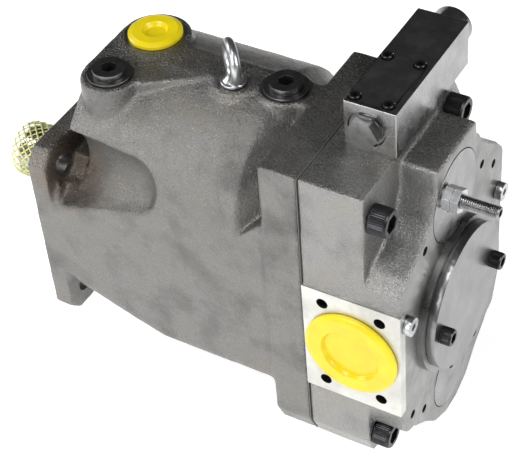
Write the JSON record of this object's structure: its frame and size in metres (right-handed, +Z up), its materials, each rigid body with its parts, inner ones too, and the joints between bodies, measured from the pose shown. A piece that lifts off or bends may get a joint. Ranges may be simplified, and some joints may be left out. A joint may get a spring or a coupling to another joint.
{
  "type": "axial piston pump",
  "caption": "Variable-displacement axial piston pump with a square mounting flange, a side suction pad, a compensator block on top and a thru-drive cover at the rear.",
  "frame": {"origin": "where the shaft axis meets the face of the mounting flange", "axes": "+X along the shaft axis to the rear cover, +Z up through the top drain ports, suction pad on the -Y side"},
  "size_m": [0.485, 0.2082, 0.356],
  "materials": {
    "cast_housing": "rough cast, dark, with a fine sparkle",
    "cast_block": "cast and machined, smooth grey",
    "gasket": "matt",
    "black_oxide": "black oxide, satin",
    "cover_steel": "turned, satin grey",
    "machined_steel": "machined, satin",
    "zinc_dark": "grey zinc, satin",
    "zinc_plate": "bright zinc plate",
    "compensator_iron": "machined iron with a dark top",
    "bearing_steel": "ground steel",
    "spring_steel": "oiled spring wire",
    "plug_steel": "dark phosphated steel",
    "seal_rubber": "matt rubber",
    "yellow_plastic": "thin moulded polyethylene",
    "netting": "pale yellow-green extruded netting",
    "bronze": "bearing bronze"
  },
  "bodies": {
    "casing": {"pump_housing": "cast_housing", "port_block": "cast_block", "joint_gasket": "gasket", "main_screws": "black_oxide", "thru_drive_cover": "cover_steel", "cover_screws": "black_oxide", "servo_plug": "machined_steel", "bias_plug": "machined_steel", "displacement_locknut": "zinc_plate", "compensator_plate": "machined_steel", "compensator_body": "compensator_iron", "compensator_screws": "black_oxide", "compensator_hex_plug": "zinc_dark", "compensator_spring": "spring_steel", "pressure_locknut": "zinc_plate", "eye_bolt": "zinc_plate", "drain_plugs": "plug_steel", "drain_plug_seals": "plug_steel", "gauge_plugs": "zinc_plate", "shaft_seal": "seal_rubber", "front_bearing_outer": "bearing_steel", "rear_bearing": "bearing_steel", "valve_plate": "bronze", "cradle_liners": "bronze", "bias_spring": "spring_steel"},
    "rotating_group": {"drive_shaft": "bearing_steel", "shaft_key": "machined_steel", "cylinder_barrel": "bearing_steel", "retainer_ball": "bearing_steel", "front_bearing_inner": "bearing_steel"},
    "bearing_cage": {"front_bearing_rollers": "bearing_steel"},
    "swash": {"swash_plate": "bearing_steel"},
    "retainer": {"retainer_plate": "bearing_steel"},
    "control_actuator": {"control_piston": "bearing_steel"},
    "bias_actuator": {"bias_piston": "bearing_steel"},
    "stop_screw": {"displacement_screw": "zinc_dark"},
    "spool": {"compensator_spool": "bearing_steel"},
    "adjuster": {"pressure_adjuster": "zinc_plate"},
    "drain_cap": {"drain_port_cap": "yellow_plastic"},
    "suction_cap": {"suction_port_cap": "yellow_plastic"},
    "pressure_cap": {"pressure_port_cap": "yellow_plastic"},
    "sleeve": {"shaft_sleeve": "netting"},
    "slipper_1_body": {"slipper_1": "bronze"},
    "piston_1_body": {"piston_1": "bearing_steel"},
    "slipper_2_body": {"slipper_2": "bronze"},
    "piston_2_body": {"piston_2": "bearing_steel"},
    "slipper_3_body": {"slipper_3": "bronze"},
    "piston_3_body": {"piston_3": "bearing_steel"},
    "slipper_4_body": {"slipper_4": "bronze"},
    "piston_4_body": {"piston_4": "bearing_steel"},
    "slipper_5_body": {"slipper_5": "bronze"},
    "piston_5_body": {"piston_5": "bearing_steel"},
    "slipper_6_body": {"slipper_6": "bronze"},
    "piston_6_body": {"piston_6": "bearing_steel"},
    "slipper_7_body": {"slipper_7": "bronze"},
    "piston_7_body": {"piston_7": "bearing_steel"},
    "slipper_8_body": {"slipper_8": "bronze"},
    "piston_8_body": {"piston_8": "bearing_steel"},
    "slipper_9_body": {"slipper_9": "bronze"},
    "piston_9_body": {"piston_9": "bearing_steel"}
  },
  "joints": [
    {"name": "shaft_spin", "type": "hinge", "parent": "casing", "child": "rotating_group", "pos_m": [0, 0, 0], "axis": [1, 0, 0], "continuous": true},
    {"name": "cage_spin", "type": "hinge", "parent": "casing", "child": "bearing_cage", "pos_m": [0, 0, 0], "axis": [1, 0, 0], "continuous": true},
    {"name": "swash_tilt", "type": "hinge", "parent": "casing", "child": "swash", "pos_m": [0.162, 0, 0], "axis": [0, 1, 0], "range_deg": [0, 15]},
    {"name": "retainer_spin", "type": "hinge", "parent": "swash", "child": "retainer", "pos_m": [0.162, 0, 0], "axis": [1, 0, 0], "continuous": true},
    {"name": "control_slide", "type": "slide", "parent": "casing", "child": "control_actuator", "axis": [1, 0, 0], "range_m": [0, 0.0287]},
    {"name": "bias_slide", "type": "slide", "parent": "casing", "child": "bias_actuator", "axis": [-1, 0, 0], "range_m": [0, 0.0252]},
    {"name": "displacement_stop", "type": "slide", "parent": "casing", "child": "stop_screw", "axis": [1, 0, 0], "range_m": [-0.012, 0.004]},
    {"name": "spool_slide", "type": "slide", "parent": "casing", "child": "spool", "axis": [0, 1, 0], "range_m": [-0.002, 0.002]},
    {"name": "pressure_set", "type": "slide", "parent": "casing", "child": "adjuster", "axis": [0, 1, 0], "range_m": [-0.0015, 0.006]},
    {"name": "drain_cap_pull", "type": "slide", "parent": "casing", "child": "drain_cap", "axis": [0, 0, 1], "range_m": [0, 0.04]},
    {"name": "suction_cap_pull", "type": "slide", "parent": "casing", "child": "suction_cap", "axis": [0, -1, 0], "range_m": [0, 0.04]},
    {"name": "pressure_cap_pull", "type": "slide", "parent": "casing", "child": "pressure_cap", "axis": [0, 1, 0], "range_m": [0, 0.04]},
    {"name": "sleeve_pull", "type": "slide", "parent": "rotating_group", "child": "sleeve", "axis": [-1, 0, 0], "range_m": [0, 0.08]},
    {"name": "slipper_1_turn", "type": "hinge", "parent": "retainer", "child": "slipper_1_body", "pos_m": [0.162, 0, 0.0488], "axis": [1, 0, 0], "continuous": true},
    {"name": "piston_1_level", "type": "hinge", "parent": "slipper_1_body", "child": "piston_1_body", "pos_m": [0.162, 0, 0.0488], "axis": [0, 1, 0], "range_deg": [-15, 0]},
    {"name": "slipper_2_turn", "type": "hinge", "parent": "retainer", "child": "slipper_2_body", "pos_m": [0.162, -0.03137, 0.03738], "axis": [1, 0, 0], "continuous": true},
    {"name": "piston_2_level", "type": "hinge", "parent": "slipper_2_body", "child": "piston_2_body", "pos_m": [0.162, -0.03137, 0.03738], "axis": [0, 1, 0], "range_deg": [-15, 0]},
    {"name": "slipper_3_turn", "type": "hinge", "parent": "retainer", "child": "slipper_3_body", "pos_m": [0.162, -0.04806, 0.00847], "axis": [1, 0, 0], "continuous": true},
    {"name": "piston_3_level", "type": "hinge", "parent": "slipper_3_body", "child": "piston_3_body", "pos_m": [0.162, -0.04806, 0.00847], "axis": [0, 1, 0], "range_deg": [-15, 0]},
    {"name": "slipper_4_turn", "type": "hinge", "parent": "retainer", "child": "slipper_4_body", "pos_m": [0.162, -0.04226, -0.0244], "axis": [1, 0, 0], "continuous": true},
    {"name": "piston_4_level", "type": "hinge", "parent": "slipper_4_body", "child": "piston_4_body", "pos_m": [0.162, -0.04226, -0.0244], "axis": [0, 1, 0], "range_deg": [-15, 0]},
    {"name": "slipper_5_turn", "type": "hinge", "parent": "retainer", "child": "slipper_5_body", "pos_m": [0.162, -0.01669, -0.04586], "axis": [1, 0, 0], "continuous": true},
    {"name": "piston_5_level", "type": "hinge", "parent": "slipper_5_body", "child": "piston_5_body", "pos_m": [0.162, -0.01669, -0.04586], "axis": [0, 1, 0], "range_deg": [-15, 0]},
    {"name": "slipper_6_turn", "type": "hinge", "parent": "retainer", "child": "slipper_6_body", "pos_m": [0.162, 0.01669, -0.04586], "axis": [1, 0, 0], "continuous": true},
    {"name": "piston_6_level", "type": "hinge", "parent": "slipper_6_body", "child": "piston_6_body", "pos_m": [0.162, 0.01669, -0.04586], "axis": [0, 1, 0], "range_deg": [-15, 0]},
    {"name": "slipper_7_turn", "type": "hinge", "parent": "retainer", "child": "slipper_7_body", "pos_m": [0.162, 0.04226, -0.0244], "axis": [1, 0, 0], "continuous": true},
    {"name": "piston_7_level", "type": "hinge", "parent": "slipper_7_body", "child": "piston_7_body", "pos_m": [0.162, 0.04226, -0.0244], "axis": [0, 1, 0], "range_deg": [-15, 0]},
    {"name": "slipper_8_turn", "type": "hinge", "parent": "retainer", "child": "slipper_8_body", "pos_m": [0.162, 0.04806, 0.00847], "axis": [1, 0, 0], "continuous": true},
    {"name": "piston_8_level", "type": "hinge", "parent": "slipper_8_body", "child": "piston_8_body", "pos_m": [0.162, 0.04806, 0.00847], "axis": [0, 1, 0], "range_deg": [-15, 0]},
    {"name": "slipper_9_turn", "type": "hinge", "parent": "retainer", "child": "slipper_9_body", "pos_m": [0.162, 0.03137, 0.03738], "axis": [1, 0, 0], "continuous": true},
    {"name": "piston_9_level", "type": "hinge", "parent": "slipper_9_body", "child": "piston_9_body", "pos_m": [0.162, 0.03137, 0.03738], "axis": [0, 1, 0], "range_deg": [-15, 0]}
  ],
  "couplings": [
    {"joint": "cage_spin", "follows": "shaft_spin", "ratio": 0.445},
    {"joint": "retainer_spin", "follows": "shaft_spin", "ratio": 1},
    {"joint": "control_slide", "follows": "swash_tilt", "m_per_rad": 0.10924},
    {"joint": "bias_slide", "follows": "swash_tilt", "m_per_rad": 0.0955},
    {"joint": "slipper_1_turn", "follows": "shaft_spin", "ratio": -1},
    {"joint": "piston_1_level", "follows": "swash_tilt", "ratio": -1},
    {"joint": "slipper_2_turn", "follows": "shaft_spin", "ratio": -1},
    {"joint": "piston_2_level", "follows": "swash_tilt", "ratio": -1},
    {"joint": "slipper_3_turn", "follows": "shaft_spin", "ratio": -1},
    {"joint": "piston_3_level", "follows": "swash_tilt", "ratio": -1},
    {"joint": "slipper_4_turn", "follows": "shaft_spin", "ratio": -1},
    {"joint": "piston_4_level", "follows": "swash_tilt", "ratio": -1},
    {"joint": "slipper_5_turn", "follows": "shaft_spin", "ratio": -1},
    {"joint": "piston_5_level", "follows": "swash_tilt", "ratio": -1},
    {"joint": "slipper_6_turn", "follows": "shaft_spin", "ratio": -1},
    {"joint": "piston_6_level", "follows": "swash_tilt", "ratio": -1},
    {"joint": "slipper_7_turn", "follows": "shaft_spin", "ratio": -1},
    {"joint": "piston_7_level", "follows": "swash_tilt", "ratio": -1},
    {"joint": "slipper_8_turn", "follows": "shaft_spin", "ratio": -1},
    {"joint": "piston_8_level", "follows": "swash_tilt", "ratio": -1},
    {"joint": "slipper_9_turn", "follows": "shaft_spin", "ratio": -1},
    {"joint": "piston_9_level", "follows": "swash_tilt", "ratio": -1}
  ]
}
